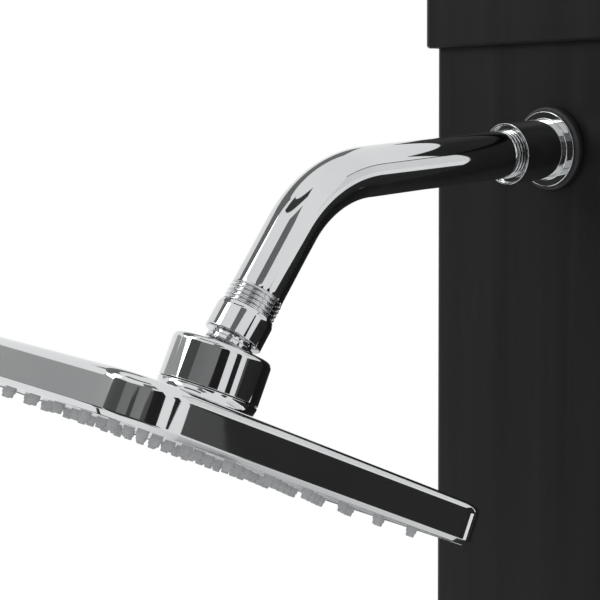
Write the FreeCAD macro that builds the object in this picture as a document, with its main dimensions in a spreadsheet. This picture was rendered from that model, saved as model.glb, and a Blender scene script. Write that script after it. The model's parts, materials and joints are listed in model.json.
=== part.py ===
import FreeCAD
import Part
import Sketcher
import math
import os
import re

# Outdoor shower post: a square column that is also the water tank, a bent arm with a square
# head on a ball joint, a lever mixer and a foot tap.
# Millimetres. The origin is the middle of the foot plate's underside, +Z up, the arm points to -Y.

document = FreeCAD.newDocument("shower_post")
sheet = document.addObject("Spreadsheet::Sheet", "Sizes")

SIZES = {
    # Column
    "post_width": 152,
    "post_corner": 4,
    "post_wall": 4,
    "inner_corner": 1,
    "post_height": 2150,
    "joint_height": 1080,
    "band_height": 12,
    "spigot_height": 40,
    "seal_height": 4,
    "seal_depth": 2,
    "seal_offset": 28,
    "plug_flange": 3,
    "plug_depth": 18,
    "cap_height": 43.6,
    "cap_wall": 4.2,
    "cap_round": 2,
    "cap_bevel": 1,
    "foot_width": 230,
    "foot_corner": 14,
    "foot_thickness": 10,
    "foot_bevel": 2,
    "collar_height": 50,
    "bolt_spacing": 190,
    "bolt_radius": 5.5,
    # Fits
    "fit_gap": 0.3,
    "thread_gap": 0.12,
    "pipe_gap": 0.1,
    "running_gap": 0.06,
    # Pipes
    "pipe_radius": 8,
    "pipe_bore": 6,
    "pipe_depth": 36,
    "pipe_insert": 13,
    "port_radius": 12,
    "port_depth": 14,
    "thread_radius": 10.48,
    "nut_radius": 16,
    "nut_height": 6,
    "hot_offset": 62,
    "hot_bend": 16,
    "hot_below_top": 60,
    "spacer_thickness": 5,
    "spacer_below_joint": 440,
    "spacer_above_joint": 560,
    # Wall socket and arm
    "arm_below_top": 90,
    "arm_tilt": 3.65,
    "arm_bend": 50.35,
    "arm_reach": 132.9,
    "arm_drop": 84.5,
    "bend_radius": 50,
    "tube_radius": 10.3,
    "tube_bore": 8.3,
    "puck_radius": 18.4,
    "puck_height": 4.2,
    "puck_round": 1.2,
    "flange_radius": 16.7,
    "flange_height": 1.2,
    "cone_height": 2.6,
    "socket_radius": 13.3,
    "socket_length": 30,
    "mouth_radius": 12.4,
    "mouth_depth": 1.7,
    "mouth_bevel": 0.4,
    "socket_floor": 14,
    "socket_tail": 24,
    "elbow_radius": 14,
    "elbow_drop": 34,
    "upper_thread_end": 34.5,
    "lower_thread_start": 52,
    "lower_thread_end": 68,
    # Ball joint, heights along the stem or the head's own axis from the ball's centre
    "ball_radius": 12.7,
    "stem_bore": 4.5,
    "stem_collar": 9.4,
    "collar_low": 9.2,
    "collar_high": 11,
    "stem_groove": 8.2,
    "sleeve_low": 12.5,
    "sleeve_bevel": 0.5,
    "sleeve_radius": 11.4,
    "sleeve_floor": 15,
    "sleeve_high": 22.5,
    "sleeve_top": 24.1,
    "sleeve_lip": 10.95,
    "filter_height": 1.5,
    "joint_nut_radius": 19.2,
    "joint_nut_low": 9,
    "joint_nut_high": 8.2,
    "joint_nut_round": 2.5,
    "joint_mouth_radius": 13.8,
    "joint_mouth_floor": 5.2,
    "neck_radius": 16.5,
    "neck_high": 1.5,
    "cup_outer": 14.2,
    "cup_low": 32,
    "cup_high": 62,
    "seal_outer": 15.7,
    "ring_low": 30,
    "ring_high": 60,
    "well_radius": 14.4,
    "well_floor": 13.65,
    "well_hole": 6,
    # Head
    "head_lean": 25.5,
    "head_width": 165,
    "head_corner": 20,
    "head_top": 17,
    "head_top_bevel": 3.2,
    "head_low": 32,
    "head_low_bevel": 1.9,
    "head_wall": 2.5,
    "ledge_width": 4,
    "ledge_low": 27,
    "face_low": 31.5,
    "mat_thickness": 2,
    "nozzle_count": 8,
    "nozzle_pitch": 17.55,
    "nozzle_radius": 1.8,
    "nozzle_low": 35.2,
    # Mixer, heights out from the column's front face
    "mixer_above_joint": 90,
    "mixer_radius": 27,
    "mixer_back": 56,
    "mixer_shoulder": 6,
    "mixer_neck": 21,
    "mixer_neck_top": 20,
    "mixer_port": 44,
    "rosette_radius": 33,
    "rosette_top": 10,
    "rosette_slope": 4,
    "gasket_height": 2,
    "cartridge_radius": 17.5,
    "cartridge_floor": 14,
    "turret_radius": 12,
    "turret_floor": 3,
    "turret_top": 18,
    "lever_pivot": 14,
    "dome_radius": 25,
    "dome_hole": 16.2,
    "slot_width": 8.4,
    "slot_length": 19,
    "slot_floor": 2,
    "spindle_radius": 3.9,
    "spindle_low": 5,
    "spindle_top": 43,
    "pin_radius": 2,
    "pin_length": 23,
    "hub_thickness": 4.2,
    "hub_angle": 67,
    "hub_boss": 6,
    "hub_boss_low": 34,
    "blade_width": 20,
    "blade_length": 96,
    # Foot tap, inlet and drain
    "tap_height": 200,
    "tap_radius": 15.5,
    "tap_flange": 18,
    "tap_flange_top": 8,
    "tap_front": 40,
    "tap_ball": 11.5,
    "tap_ball_place": 24,
    "tap_chamber": 12,
    "tap_chamber_floor": 12.3,
    "tap_bore": 6,
    "tap_tail": 24,
    "tap_boss": 9,
    "tap_boss_top": 26,
    "tap_stem": 4,
    "tap_stem_top": 38,
    "tang_width": 3.8,
    "tang_length": 7,
    "tang_low": 7.8,
    "tang_top": 11.8,
    "spout_place": 52,
    "spout_radius": 9,
    "spout_length": 42,
    "spout_flange": 4,
    "spout_insert": 33,
    "grip_low": 26.4,
    "grip_thickness": 5,
    "grip_width": 13,
    "grip_length": 62,
    "grip_hub": 9,
    "lock_radius": 7.5,
    "lock_height": 4,
    "tee_radius": 13.5,
    "tee_back": 58,
    "tee_top": 30,
    "fill_radius": 2.5,
    "inlet_flange": 16,
    "inlet_flange_top": 4.5,
    "inlet_length": 18,
    "inlet_tail": 27,
    "washer_height": 1.5,
    "drain_height": 84,
    "drain_head": 13,
    "drain_top": 8,
    "drain_tail": 14,
}


def fillSheet():
    for row, (alias, size) in enumerate(SIZES.items(), start=1):
        sheet.set("A%d" % row, alias)
        sheet.set("B%d" % row, str(size))
        sheet.setAlias("B%d" % row, alias)
    document.recompute()


def formula(text):
    # Every alias has an underscore in it, and no function of the expression engine has.
    return re.sub(r"[a-z]+(?:_[a-z]+)+", r"Sizes.\g<0>", str(text))


def number(text):
    value = sheet.evalExpression(formula(text))
    return float(getattr(value, "Value", value))


def bind(thing, sizes):
    for name, text in sizes.items():
        thing.setExpression(name, formula(text))
    return thing


# Places and directions
FRONT = "-post_width/2"
BACK = "post_width/2"
PIPE_LINE = "(pipe_depth - post_width/2)"
ARM_HEIGHT = "(post_height - arm_below_top)"
MIXER_HEIGHT = "(joint_height + mixer_above_joint)"
TANK_BASE = "(foot_thickness + plug_flange)"
TANK_TOP = "(post_height - cap_wall - plug_flange)"
BAND_LOW = "(joint_height - band_height/2)"
BAND_HIGH = "(joint_height + band_height/2)"
INNER_WIDTH = "(post_width - 2*post_wall)"
PLUG_WIDTH = "(post_width - 2*post_wall - 2*fit_gap)"
ARM_ANGLE = "((arm_tilt + arm_bend)*1deg)"
BALL_Y = "(-post_width/2 - arm_reach*cos(arm_tilt*1deg) - arm_drop*cos(%s))" % ARM_ANGLE
BALL_Z = "(post_height - arm_below_top - arm_reach*sin(arm_tilt*1deg) - arm_drop*sin(%s))" % ARM_ANGLE
PORT_BORE = "(pipe_radius + pipe_gap)"
THREAD_BORE = "(thread_radius + thread_gap)"
BEND_START = "(arm_reach - bend_radius*tan(arm_bend/2*1deg))"


# Solids

def place(thing, x=0, y=0, z=0, turn=0):
    # A piece is turned about X only.
    thing.Placement = FreeCAD.Placement(FreeCAD.Vector(), FreeCAD.Rotation(FreeCAD.Vector(1, 0, 0), 1))
    thing.setExpression("Placement.Rotation.Angle", formula(turn))
    for axis, text in zip("xyz", (x, y, z)):
        thing.setExpression("Placement.Base." + axis, formula(text))
    return thing


def newBody():
    return document.addObject("PartDesign::Body", "Body")


def newSketch(body, plane, offset=None):
    sketch = body.newObject("Sketcher::SketchObject", "Sketch")
    planes = {feature.Role: feature for feature in body.Origin.OriginFeatures}
    sketch.AttachmentSupport = [(planes[plane], "")]
    sketch.MapMode = "FlatFace"
    if offset is not None:
        sketch.setExpression("AttachmentOffset.Base.z", formula(offset))
    return sketch


def pin(sketch, edge, end, x, y):
    # Ties one end of an edge to its place, by a size or by the axis that it lies on.
    for kind, axis, text in (("DistanceX", -2, x), ("DistanceY", -1, y)):
        if text == 0:
            sketch.addConstraint(Sketcher.Constraint("PointOnObject", edge, end, axis))
            continue
        index = sketch.addConstraint(Sketcher.Constraint(kind, -1, 1, edge, end, number(text)))
        sketch.setExpression("Constraints[%d]" % index, formula(text))


def axisArc(first, last):
    # An arc about a centre on the sketch's vertical axis, which may run either way.
    centre = (last.Length ** 2 - first.Length ** 2) / (2 * (last.y - first.y))
    angles = [math.atan2(point.y - centre, point.x) for point in (first, last)]
    middle = FreeCAD.Vector(0, centre, 0)
    circle = Part.Circle(middle, FreeCAD.Vector(0, 0, 1), first.distanceToPoint(middle))
    return Part.ArcOfCircle(circle, min(angles), max(angles)), angles[0] < angles[1]


def drawOutline(sketch, outline):
    # Closed outline of (across, up). A third entry makes the edge that ends there an arc about
    # a centre on the vertical axis.
    points = [FreeCAD.Vector(number(corner[0]), number(corner[1]), 0) for corner in outline]
    ends = []
    for index, corner in enumerate(outline):
        first = points[index - 1]
        last = points[index]
        forward = True
        edge = Part.LineSegment(first, last)
        if len(corner) > 2:
            edge, forward = axisArc(first, last)
        sketch.addGeometry(edge)
        ends.append((1, 2) if forward else (2, 1))
    for index, corner in enumerate(outline):
        following = (index + 1) % len(outline)
        joined = (index, ends[index][1], following, ends[following][0])
        sketch.addConstraint(Sketcher.Constraint("Coincident", *joined))
        pin(sketch, index, ends[index][1], corner[0], corner[1])
        if len(corner) > 2:
            sketch.addConstraint(Sketcher.Constraint("PointOnObject", index, 3, -2))


def turned(outline):
    # Body turned about its own Z axis from an outline of (radius, height).
    body = newBody()
    sketch = newSketch(body, "XZ_Plane")
    drawOutline(sketch, outline)
    revolution = body.newObject("PartDesign::Revolution", "Turned")
    revolution.Profile = sketch
    revolution.ReferenceAxis = (sketch, ["V_Axis"])
    revolution.Angle = 360
    document.recompute()
    return body


def ring(inner, outer, low, high):
    return turned([(inner, low), (outer, low), (outer, high), (inner, high)])


def drawSquare(sketch, width, corner):
    # Square with round corners about the sketch's origin.
    reach = number(width) / 2
    radius = number(corner)
    first = sketch.GeometryCount
    for quarter in range(4):
        angle = math.pi / 2 * quarter
        side = (1 if quarter in (0, 3) else -1, 1 if quarter < 2 else -1)
        centre = FreeCAD.Vector(side[0] * (reach - radius), side[1] * (reach - radius), 0)
        circle = Part.Circle(centre, FreeCAD.Vector(0, 0, 1), radius)
        arc = first + 2 * quarter
        sketch.addGeometry(Part.ArcOfCircle(circle, angle, angle + math.pi / 2))
        inward = FreeCAD.Vector(math.cos(angle + math.pi / 2), math.sin(angle + math.pi / 2), 0)
        along = FreeCAD.Vector(-inward.y, inward.x, 0)
        start = centre + inward * radius
        sketch.addGeometry(Part.LineSegment(start, start + along * 2 * (reach - radius)))
        places = ["%d*((%s)/2 - (%s))" % (sign, width, corner) for sign in side]
        pin(sketch, arc, 3, *places)
        index = sketch.addConstraint(Sketcher.Constraint("Radius", arc, radius))
        sketch.setExpression("Constraints[%d]" % index, formula(corner))
    for edge in range(8):
        joined = (first + edge, 2, first + (edge + 1) % 8, 1)
        sketch.addConstraint(Sketcher.Constraint("Tangent", *joined))


def squareBar(squares, low, high):
    # Upright square bar, or a square tube where a second, smaller square is given.
    body = newBody()
    sketch = newSketch(body, "XY_Plane", low)
    for width, corner in squares:
        drawSquare(sketch, width, corner)
    pad = body.newObject("PartDesign::Pad", "Bar")
    pad.Profile = sketch
    bind(pad, {"Length": "(%s) - (%s)" % (high, low)})
    document.recompute()
    return body


def edgesAt(body, height, radius=None):
    # Names of the edges that lie flat at a height, of one radius where it is given.
    names = []
    for index, edge in enumerate(body.Shape.Edges, start=1):
        box = edge.BoundBox
        flat = abs(box.ZMin - number(height)) < 1e-4 and abs(box.ZMax - number(height)) < 1e-4
        if flat and (radius is None or abs(box.XMax - number(radius)) < 1e-4):
            names.append("Edge%d" % index)
    return names


def soften(body, kind, names, size):
    base = body.Tip
    feature = body.newObject("PartDesign::" + kind, kind)
    feature.Base = (base, names)
    bind(feature, {"Size" if kind == "Chamfer" else "Radius": size})
    body.Tip = feature
    document.recompute()


def cylinder(radius, low, high):
    return turned([(0, low), (radius, low), (radius, high), (0, high)])


def crossCylinder(radius, low, high, height, sideways=False):
    # Cylinder along Y, or along X where it lies sideways, at a height on the Z axis.
    thing = document.addObject("Part::Cylinder", "Cylinder")
    axis = FreeCAD.Vector(0, 1, 0) if sideways else FreeCAD.Vector(1, 0, 0)
    turn = FreeCAD.Rotation(axis, 90 if sideways else -90)
    thing.Placement = FreeCAD.Placement(FreeCAD.Vector(), turn)
    bind(thing, {"Radius": radius, "Height": "(%s) - (%s)" % (high, low)})
    bind(thing, {"Placement.Base.z": height, "Placement.Base." + ("x" if sideways else "y"): low})
    return thing


def hexagon(radius, low, high):
    thing = document.addObject("Part::Prism", "Prism")
    thing.Polygon = 6
    bind(thing, {"Circumradius": radius, "Height": "(%s) - (%s)" % (high, low)})
    bind(thing, {"Placement.Base.z": low})
    return thing


def sphere(radius, height):
    thing = document.addObject("Part::Sphere", "Sphere")
    return bind(thing, {"Radius": radius, "Placement.Base.z": height})


def box(wide, deep, low, high, x=0, y=0):
    # Box about the point x, y.
    thing = document.addObject("Part::Box", "Box")
    bind(thing, {"Length": wide, "Width": deep, "Height": "(%s) - (%s)" % (high, low)})
    bind(thing, {"Placement.Base.x": "(%s) - (%s)/2" % (x, wide)})
    bind(thing, {"Placement.Base.y": "(%s) - (%s)/2" % (y, deep), "Placement.Base.z": low})
    return thing


def fuse(pieces):
    thing = document.addObject("Part::MultiFuse", "Fused")
    thing.Shapes = pieces
    return thing


def cut(piece, tools):
    thing = document.addObject("Part::Cut", "Cut")
    thing.Base = piece
    thing.Tool = tools[0] if len(tools) == 1 else fuse(tools)
    return thing


def hexNut(low, high):
    return cut(hexagon("nut_radius", low, high), [cylinder(THREAD_BORE, low, high)])


def onArmAxis(thing):
    # The frame of the wall socket: its origin on the column's front face, +Z out along the arm.
    return place(thing, 0, FRONT, ARM_HEIGHT, "90 + arm_tilt")


def onFront(thing, height):
    # +Z points out of the column's front face and +Y points up.
    return place(thing, 0, FRONT, height, 90)


def onBack(thing, height):
    return place(thing, 0, BACK, height, -90)


def onStem(thing):
    # +Z runs from the ball's centre up along the lower arm.
    return place(thing, 0, BALL_Y, BALL_Z, "arm_tilt + arm_bend - 90")


def onHead(thing):
    # +Z runs from the ball's centre out of the head's back.
    return place(thing, 0, BALL_Y, BALL_Z, "-head_lean")


# Column

def basePlate():
    body = squareBar([("foot_width", "foot_corner")], 0, "foot_thickness")
    soften(body, "Chamfer", edgesAt(body, "foot_thickness"), "foot_bevel")
    sketch = newSketch(body, "XY_Plane")
    for index, (sideX, sideY) in enumerate(((-1, -1), (1, -1), (1, 1), (-1, 1))):
        reach = number("bolt_spacing") / 2
        centre = FreeCAD.Vector(sideX * reach, sideY * reach, 0)
        sketch.addGeometry(Part.Circle(centre, FreeCAD.Vector(0, 0, 1), number("bolt_radius")))
        pin(sketch, index, 3, "%d*bolt_spacing/2" % sideX, "%d*bolt_spacing/2" % sideY)
        radius = sketch.addConstraint(Sketcher.Constraint("Radius", index, number("bolt_radius")))
        sketch.setExpression("Constraints[%d]" % radius, formula("bolt_radius"))
    holes = body.newObject("PartDesign::Pocket", "BoltHoles")
    holes.Profile = sketch
    holes.Type = "ThroughAll"
    holes.Midplane = True
    document.recompute()
    collar = squareBar(
        [("post_width + 2*fit_gap + 2*cap_wall", "post_corner + cap_wall"),
         ("post_width + 2*fit_gap", "post_corner")],
        "foot_thickness", "foot_thickness + collar_height")
    return fuse([body, collar])


def plug(flangeLow, flangeHigh, plugLow, plugHigh):
    flange = squareBar([("post_width - fit_gap", "post_corner")], flangeLow, flangeHigh)
    return fuse([flange, squareBar([(PLUG_WIDTH, "inner_corner")], plugLow, plugHigh)])


def bottomPlug():
    return plug("foot_thickness", TANK_BASE, TANK_BASE, TANK_BASE + " + plug_depth")


def topPlug():
    return plug(TANK_TOP, TANK_TOP + " + plug_flange", TANK_TOP + " - plug_depth", TANK_TOP)


def tankSection(low, high):
    return squareBar([("post_width", "post_corner"), (INNER_WIDTH, "inner_corner")], low, high)


def wallHole(radius):
    # Drill through one wall, along the local Z axis.
    return cylinder(radius, "-2*post_wall", "2*post_wall")


def lowerTank():
    tap = onFront(wallHole("thread_radius + fit_gap"), "tap_height")
    inlet = onBack(wallHole("thread_radius + fit_gap"), "tap_height")
    drain = onBack(wallHole("thread_radius + fit_gap"), "drain_height")
    return cut(tankSection(TANK_BASE, BAND_LOW), [tap, inlet, drain])


def upperTank():
    mixer = onFront(wallHole("mixer_neck + fit_gap"), MIXER_HEIGHT)
    arm = onArmAxis(wallHole("thread_radius + fit_gap"))
    return cut(tankSection(BAND_HIGH, TANK_TOP), [mixer, arm])


def tankCoupling():
    opening = (PLUG_WIDTH + " - 2*post_wall", "inner_corner")
    band = squareBar([("post_width", "post_corner"), opening], BAND_LOW, BAND_HIGH)
    low = BAND_LOW + " - spigot_height"
    high = BAND_HIGH + " + spigot_height"
    spigots = squareBar([(PLUG_WIDTH, "inner_corner"), opening], low, high)
    grooves = [sealRing(side, "post_width", "running_gap") for side in (-1, 1)]
    return cut(fuse([band, spigots]), grooves)


def sealRing(side, outer, gap):
    # Square ring round a spigot of the coupling, side -1 below its band and 1 above it.
    middle = "joint_height + %d*seal_offset" % side
    inner = PLUG_WIDTH + " - 2*seal_depth - " + gap
    low = middle + " - seal_height/2 - " + gap
    high = middle + " + seal_height/2 + " + gap
    return squareBar([(outer, "inner_corner"), (inner, "inner_corner")], low, high)


def couplingSeal(side):
    return sealRing(side, INNER_WIDTH + " - running_gap", "0")


def topCap():
    outer = "post_width + 2*fit_gap + 2*cap_wall"
    low = "post_height - cap_height"
    body = squareBar([(outer, "post_corner + fit_gap + 1")], low, "post_height")
    soften(body, "Fillet", edgesAt(body, "post_height"), "cap_round")
    soften(body, "Chamfer", edgesAt(body, low), "cap_bevel")
    inside = squareBar([("post_width + 2*fit_gap", "post_corner")], low + " - 1", "post_height - cap_wall")
    return cut(body, [inside])


def pipeSpacer(height, withHotPipe):
    plate = squareBar(
        [(PLUG_WIDTH, "inner_corner")], height, height + " + spacer_thickness")
    across = [0, "-hot_offset"] if withHotPipe else [0]
    holes = []
    for x in across:
        hole = cylinder("pipe_radius + pipe_gap", height + " - 1", height + " + 2*spacer_thickness")
        holes.append(place(hole, x, PIPE_LINE, 0))
    opening = squareBar([("post_width/2", "post_corner")], height + " - 1", height + " + 2*spacer_thickness")
    return cut(plate, holes + [place(opening, 0, "post_width/8", 0)])


# Pipework

def uprightPipe(low, high):
    return place(ring("pipe_bore", "pipe_radius", low, high), 0, PIPE_LINE, 0)


def coldPipe():
    return uprightPipe("tap_height + tee_top - pipe_insert", MIXER_HEIGHT + " - mixer_port + pipe_insert")


def riserPipe():
    low = MIXER_HEIGHT + " + mixer_port - pipe_insert"
    return uprightPipe(low, ARM_HEIGHT + " - elbow_drop + pipe_insert")


def hotPipe():
    # Out of the mixer's left port, round a bend and up inside the column.
    body = newBody()
    path = newSketch(body, "XZ_Plane")
    start = "-mixer_port + pipe_insert"
    bendX = "-hot_offset + hot_bend"
    top = "post_height - hot_below_top - " + MIXER_HEIGHT
    points = [(start, 0), (bendX, 0), ("-hot_offset", "hot_bend"), ("-hot_offset", top)]
    at = [FreeCAD.Vector(number(x), number(y), 0) for x, y in points]
    centre = FreeCAD.Vector(at[1].x, number("hot_bend"), 0)
    circle = Part.Circle(centre, FreeCAD.Vector(0, 0, 1), number("hot_bend"))
    path.addGeometry(Part.LineSegment(at[0], at[1]))
    path.addGeometry(Part.ArcOfCircle(circle, math.pi, 1.5 * math.pi))
    path.addGeometry(Part.LineSegment(at[2], at[3]))
    path.addConstraint(Sketcher.Constraint("Tangent", 0, 2, 1, 2))
    path.addConstraint(Sketcher.Constraint("Coincident", 1, 1, 2, 1))
    pin(path, 0, 1, *points[0])
    pin(path, 0, 2, *points[1])
    pin(path, 2, 1, *points[2])
    pin(path, 2, 2, *points[3])
    swept(body, newSketch(body, "YZ_Plane", start), path, ("pipe_bore", "pipe_radius"))
    return place(body, 0, PIPE_LINE, MIXER_HEIGHT)


def swept(body, section, path, radii):
    # Tube of two radii carried along a path.
    for index, radius in enumerate(radii):
        section.addGeometry(Part.Circle(FreeCAD.Vector(), FreeCAD.Vector(0, 0, 1), number(radius)))
        section.addConstraint(Sketcher.Constraint("Coincident", index, 3, -1, 1))
        size = section.addConstraint(Sketcher.Constraint("Radius", index, number(radius)))
        section.setExpression("Constraints[%d]" % size, formula(radius))
    pipe = body.newObject("PartDesign::AdditivePipe", "Swept")
    pipe.Profile = section
    pipe.Spine = (path, ["Edge%d" % (index + 1) for index in range(path.GeometryCount)])
    document.recompute()


def riserElbow():
    corner = "-pipe_depth"
    body = fuse([
        cylinder("elbow_radius", corner, "-socket_floor"),
        sphere("elbow_radius", corner),
        onArmAxisInverse(cylinder("port_radius", "-elbow_drop", 0)),
    ])
    bores = [
        cylinder(THREAD_BORE, "-socket_tail - 1", "-socket_floor"),
        cylinder("tube_bore", corner, "-socket_floor"),
        onArmAxisInverse(cylinder(PORT_BORE, "-elbow_drop", "port_depth - elbow_drop")),
        onArmAxisInverse(cylinder("pipe_bore", "-elbow_drop", 0)),
    ]
    return onArmAxis(cut(body, bores))


def onArmAxisInverse(thing):
    # Stands a piece upright again in the socket's frame, below the pipe line.
    return place(thing, 0, 0, "-pipe_depth", "-90 - arm_tilt")


def coldTee():
    # In the foot tap's frame: front socket over the tap's tail, back port and upright port.
    middle = "-pipe_depth"
    body = fuse([
        cylinder("tee_radius", "-tee_back", "-socket_floor"),
        crossCylinder("port_radius", 0, "tee_top", middle),
    ])
    bores = [
        cylinder(THREAD_BORE, "-tap_tail - 1", "-socket_floor"),
        cylinder(PORT_BORE, "-tee_back", "port_depth - tee_back"),
        cylinder("pipe_bore", "-tee_back", "-socket_floor"),
        crossCylinder(PORT_BORE, "tee_top - port_depth", "tee_top", middle),
        crossCylinder("pipe_bore", 0, "tee_top", middle),
        crossCylinder("fill_radius", "-2*tee_radius", 0, middle, sideways=True),
    ]
    return onFront(cut(body, bores), "tap_height")


def inletPipe():
    low = "-tee_back + pipe_insert"
    length = "(post_width - inlet_tail - tee_back + 2*pipe_insert)"
    return onFront(ring("pipe_bore", "pipe_radius", low + " - " + length, low), "tap_height")


# Wall socket and arm

def wallBox(low, high):
    # Slab of the column's wall round the arm, between two depths behind its front face.
    middle = FRONT + " + ((%s) + (%s))/2" % (low, high)
    deep = "(%s) - (%s)" % (high, low)
    base = ARM_HEIGHT + " - 2*puck_radius"
    return box("3*puck_radius", deep, base, ARM_HEIGHT + " + 2*puck_radius", 0, middle)


def armGasket():
    # The puck's back is flat on the column, so it takes up the arm's tilt.
    puck = ring("thread_radius + fit_gap", "puck_radius", "-puck_height", "puck_height")
    soften(puck, "Chamfer", edgesAt(puck, "puck_height", "puck_radius"), "puck_round")
    onArmAxis(puck)
    return cut(puck, [wallBox(0, "3*puck_height")])


def socketWasher():
    low = "-post_wall - puck_height/2"
    washer = onArmAxis(ring("thread_radius + fit_gap", "nut_radius", low, 0))
    return cut(washer, [wallBox("-puck_height", "post_wall")])


def socketLockNut():
    high = "-post_wall - puck_height/2"
    return onArmAxis(hexNut(high + " - nut_height", high))


def wallSocket():
    rim = "puck_height + flange_height"
    return onArmAxis(turned([
        ("tube_bore", "-socket_tail"),
        ("thread_radius", "-socket_tail"),
        ("thread_radius", "puck_height"),
        ("flange_radius", "puck_height"),
        ("flange_radius", rim),
        ("socket_radius", rim + " + cone_height"),
        ("socket_radius", "socket_length - mouth_bevel"),
        ("socket_radius - mouth_bevel", "socket_length"),
        ("mouth_radius", "socket_length"),
        ("mouth_radius", "socket_length - mouth_depth"),
        (THREAD_BORE, "socket_length - mouth_depth"),
        (THREAD_BORE, "socket_floor"),
        ("tube_bore", "socket_floor"),
    ]))


def armPath(body):
    # Out of the socket, round the bend and down to the ball joint, in the body's YZ plane.
    path = newSketch(body, "YZ_Plane")
    turn = "(arm_bend*1deg)"
    bendEnd = ("bend_radius*cos(%s) - bend_radius" % turn, BEND_START + " + bend_radius*sin(%s)" % turn)
    end = ("-lower_thread_end*sin(%s)" % turn, "arm_reach + lower_thread_end*cos(%s)" % turn)
    points = [(0, "socket_floor"), (0, BEND_START), bendEnd, end]
    at = [FreeCAD.Vector(number(x), number(y), 0) for x, y in points]
    centre = FreeCAD.Vector(-number("bend_radius"), at[1].y, 0)
    circle = Part.Circle(centre, FreeCAD.Vector(0, 0, 1), number("bend_radius"))
    path.addGeometry(Part.LineSegment(at[0], at[1]))
    path.addGeometry(Part.ArcOfCircle(circle, 0, math.radians(number("arm_bend"))))
    path.addGeometry(Part.LineSegment(at[2], at[3]))
    path.addConstraint(Sketcher.Constraint("Tangent", 0, 2, 1, 1))
    path.addConstraint(Sketcher.Constraint("Coincident", 1, 2, 2, 1))
    pin(path, 0, 1, *points[0])
    pin(path, 0, 2, *points[1])
    pin(path, 2, 1, *points[2])
    pin(path, 2, 2, *points[3])
    return path


def showerArm():
    body = newBody()
    path = armPath(body)
    swept(body, newSketch(body, "XY_Plane", "socket_floor"), path, ("tube_bore", "tube_radius"))
    upper = ring("tube_bore", "thread_radius", "socket_floor", "upper_thread_end")
    lower = ring("tube_bore", "thread_radius", "lower_thread_start", "lower_thread_end")
    place(lower, 0, 0, "arm_reach", "arm_bend")
    return onArmAxis(fuse([body, upper, lower]))


# Ball joint

def ballStem():
    return onStem(turned([
        ("stem_bore", "-sqrt(ball_radius^2 - stem_bore^2)"),
        ("sqrt(ball_radius^2 - collar_low^2)", "collar_low", "arc"),
        ("stem_collar", "collar_low"),
        ("stem_collar", "collar_high"),
        ("stem_groove", "collar_high"),
        ("stem_groove", "sleeve_low"),
        ("sleeve_radius - sleeve_bevel", "sleeve_low"),
        ("sleeve_radius", "sleeve_low + sleeve_bevel"),
        ("sleeve_radius", "sleeve_high"),
        ("sleeve_lip", "sleeve_top"),
        (THREAD_BORE, "sleeve_top"),
        (THREAD_BORE, "sleeve_floor"),
        ("stem_bore", "sleeve_floor"),
    ]))


def stemFilter():
    screen = ring("stem_bore", "thread_radius - fit_gap", "sleeve_floor", "sleeve_floor + filter_height")
    return onStem(screen)


def ballNut():
    seat = "(ball_radius + running_gap)"
    body = turned([
        ("neck_radius + running_gap", "-joint_nut_low"),
        ("joint_nut_radius", "-joint_nut_low"),
        ("joint_nut_radius", "joint_nut_high"),
        ("joint_mouth_radius", "joint_nut_high"),
        ("sqrt(%s^2 - joint_mouth_floor^2)" % seat, "joint_mouth_floor"),
        ("sqrt(%s^2 - (neck_high/2)^2)" % seat, "-neck_high/2", "arc"),
        ("neck_radius + running_gap", "-neck_high/2"),
    ])
    soften(body, "Fillet", edgesAt(body, "joint_nut_high", "joint_nut_radius"), "joint_nut_round")
    return onHead(body)


def sphericalBand(inner, outer, low, high):
    # Band of a hollow ball between two angles from its lowest point.
    def at(radius, angle):
        return ("(%s)*sin(%s*1deg)" % (radius, angle), "-(%s)*cos(%s*1deg)" % (radius, angle))
    return turned([
        at(inner, low) + ("arc",), at(outer, low), at(outer, high) + ("arc",), at(inner, high)])


def ballCup():
    return onHead(sphericalBand("ball_radius + running_gap", "cup_outer", "cup_low", "cup_high"))


def ballSeal():
    return onHead(sphericalBand("cup_outer + running_gap", "seal_outer", "ring_low", "ring_high"))


# Head

def headShell():
    # Moulded square shell with a boss and a threaded neck on its back for the ball joint.
    body = squareBar([("head_width", "head_corner")], "-head_low", "-head_top")
    soften(body, "Chamfer", edgesAt(body, "-head_top"), "head_top_bevel")
    soften(body, "Chamfer", edgesAt(body, "-head_low"), "head_low_bevel")
    seat = "(seal_outer + running_gap)"
    edge = ("%s*sin(ring_high*1deg)" % seat, "-%s*cos(ring_high*1deg)" % seat)
    boss = turned([
        ("well_hole", "-head_top"),
        ("joint_nut_radius", "-head_top"),
        ("joint_nut_radius", "-joint_nut_low - fit_gap"),
        ("neck_radius", "-joint_nut_low - fit_gap"),
        ("neck_radius", "-neck_high"),
        ("well_radius", "-neck_high"),
        ("well_radius", edge[1]),
        edge,
        ("sqrt(%s^2 - well_floor^2)" % seat, "-well_floor", "arc"),
        ("well_hole", "-well_floor"),
    ])
    wide = "head_width - 2*head_wall"
    roof = "-head_top - head_wall"
    corner = "head_corner - head_wall"
    chamber = squareBar([(wide + " - 2*ledge_width", corner + " - ledge_width")], "-ledge_low", roof)
    opening = squareBar([(wide, corner)], "-head_low - 1", "-ledge_low")
    hole = cylinder("well_hole", roof, "-head_top")
    return onHead(cut(fuse([body, boss]), [chamber, opening, hole]))


def headPlate(gap, low, high):
    wide = "head_width - 2*head_wall - 2*" + gap
    return squareBar([(wide, "head_corner - head_wall - " + gap)], low, high)


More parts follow.
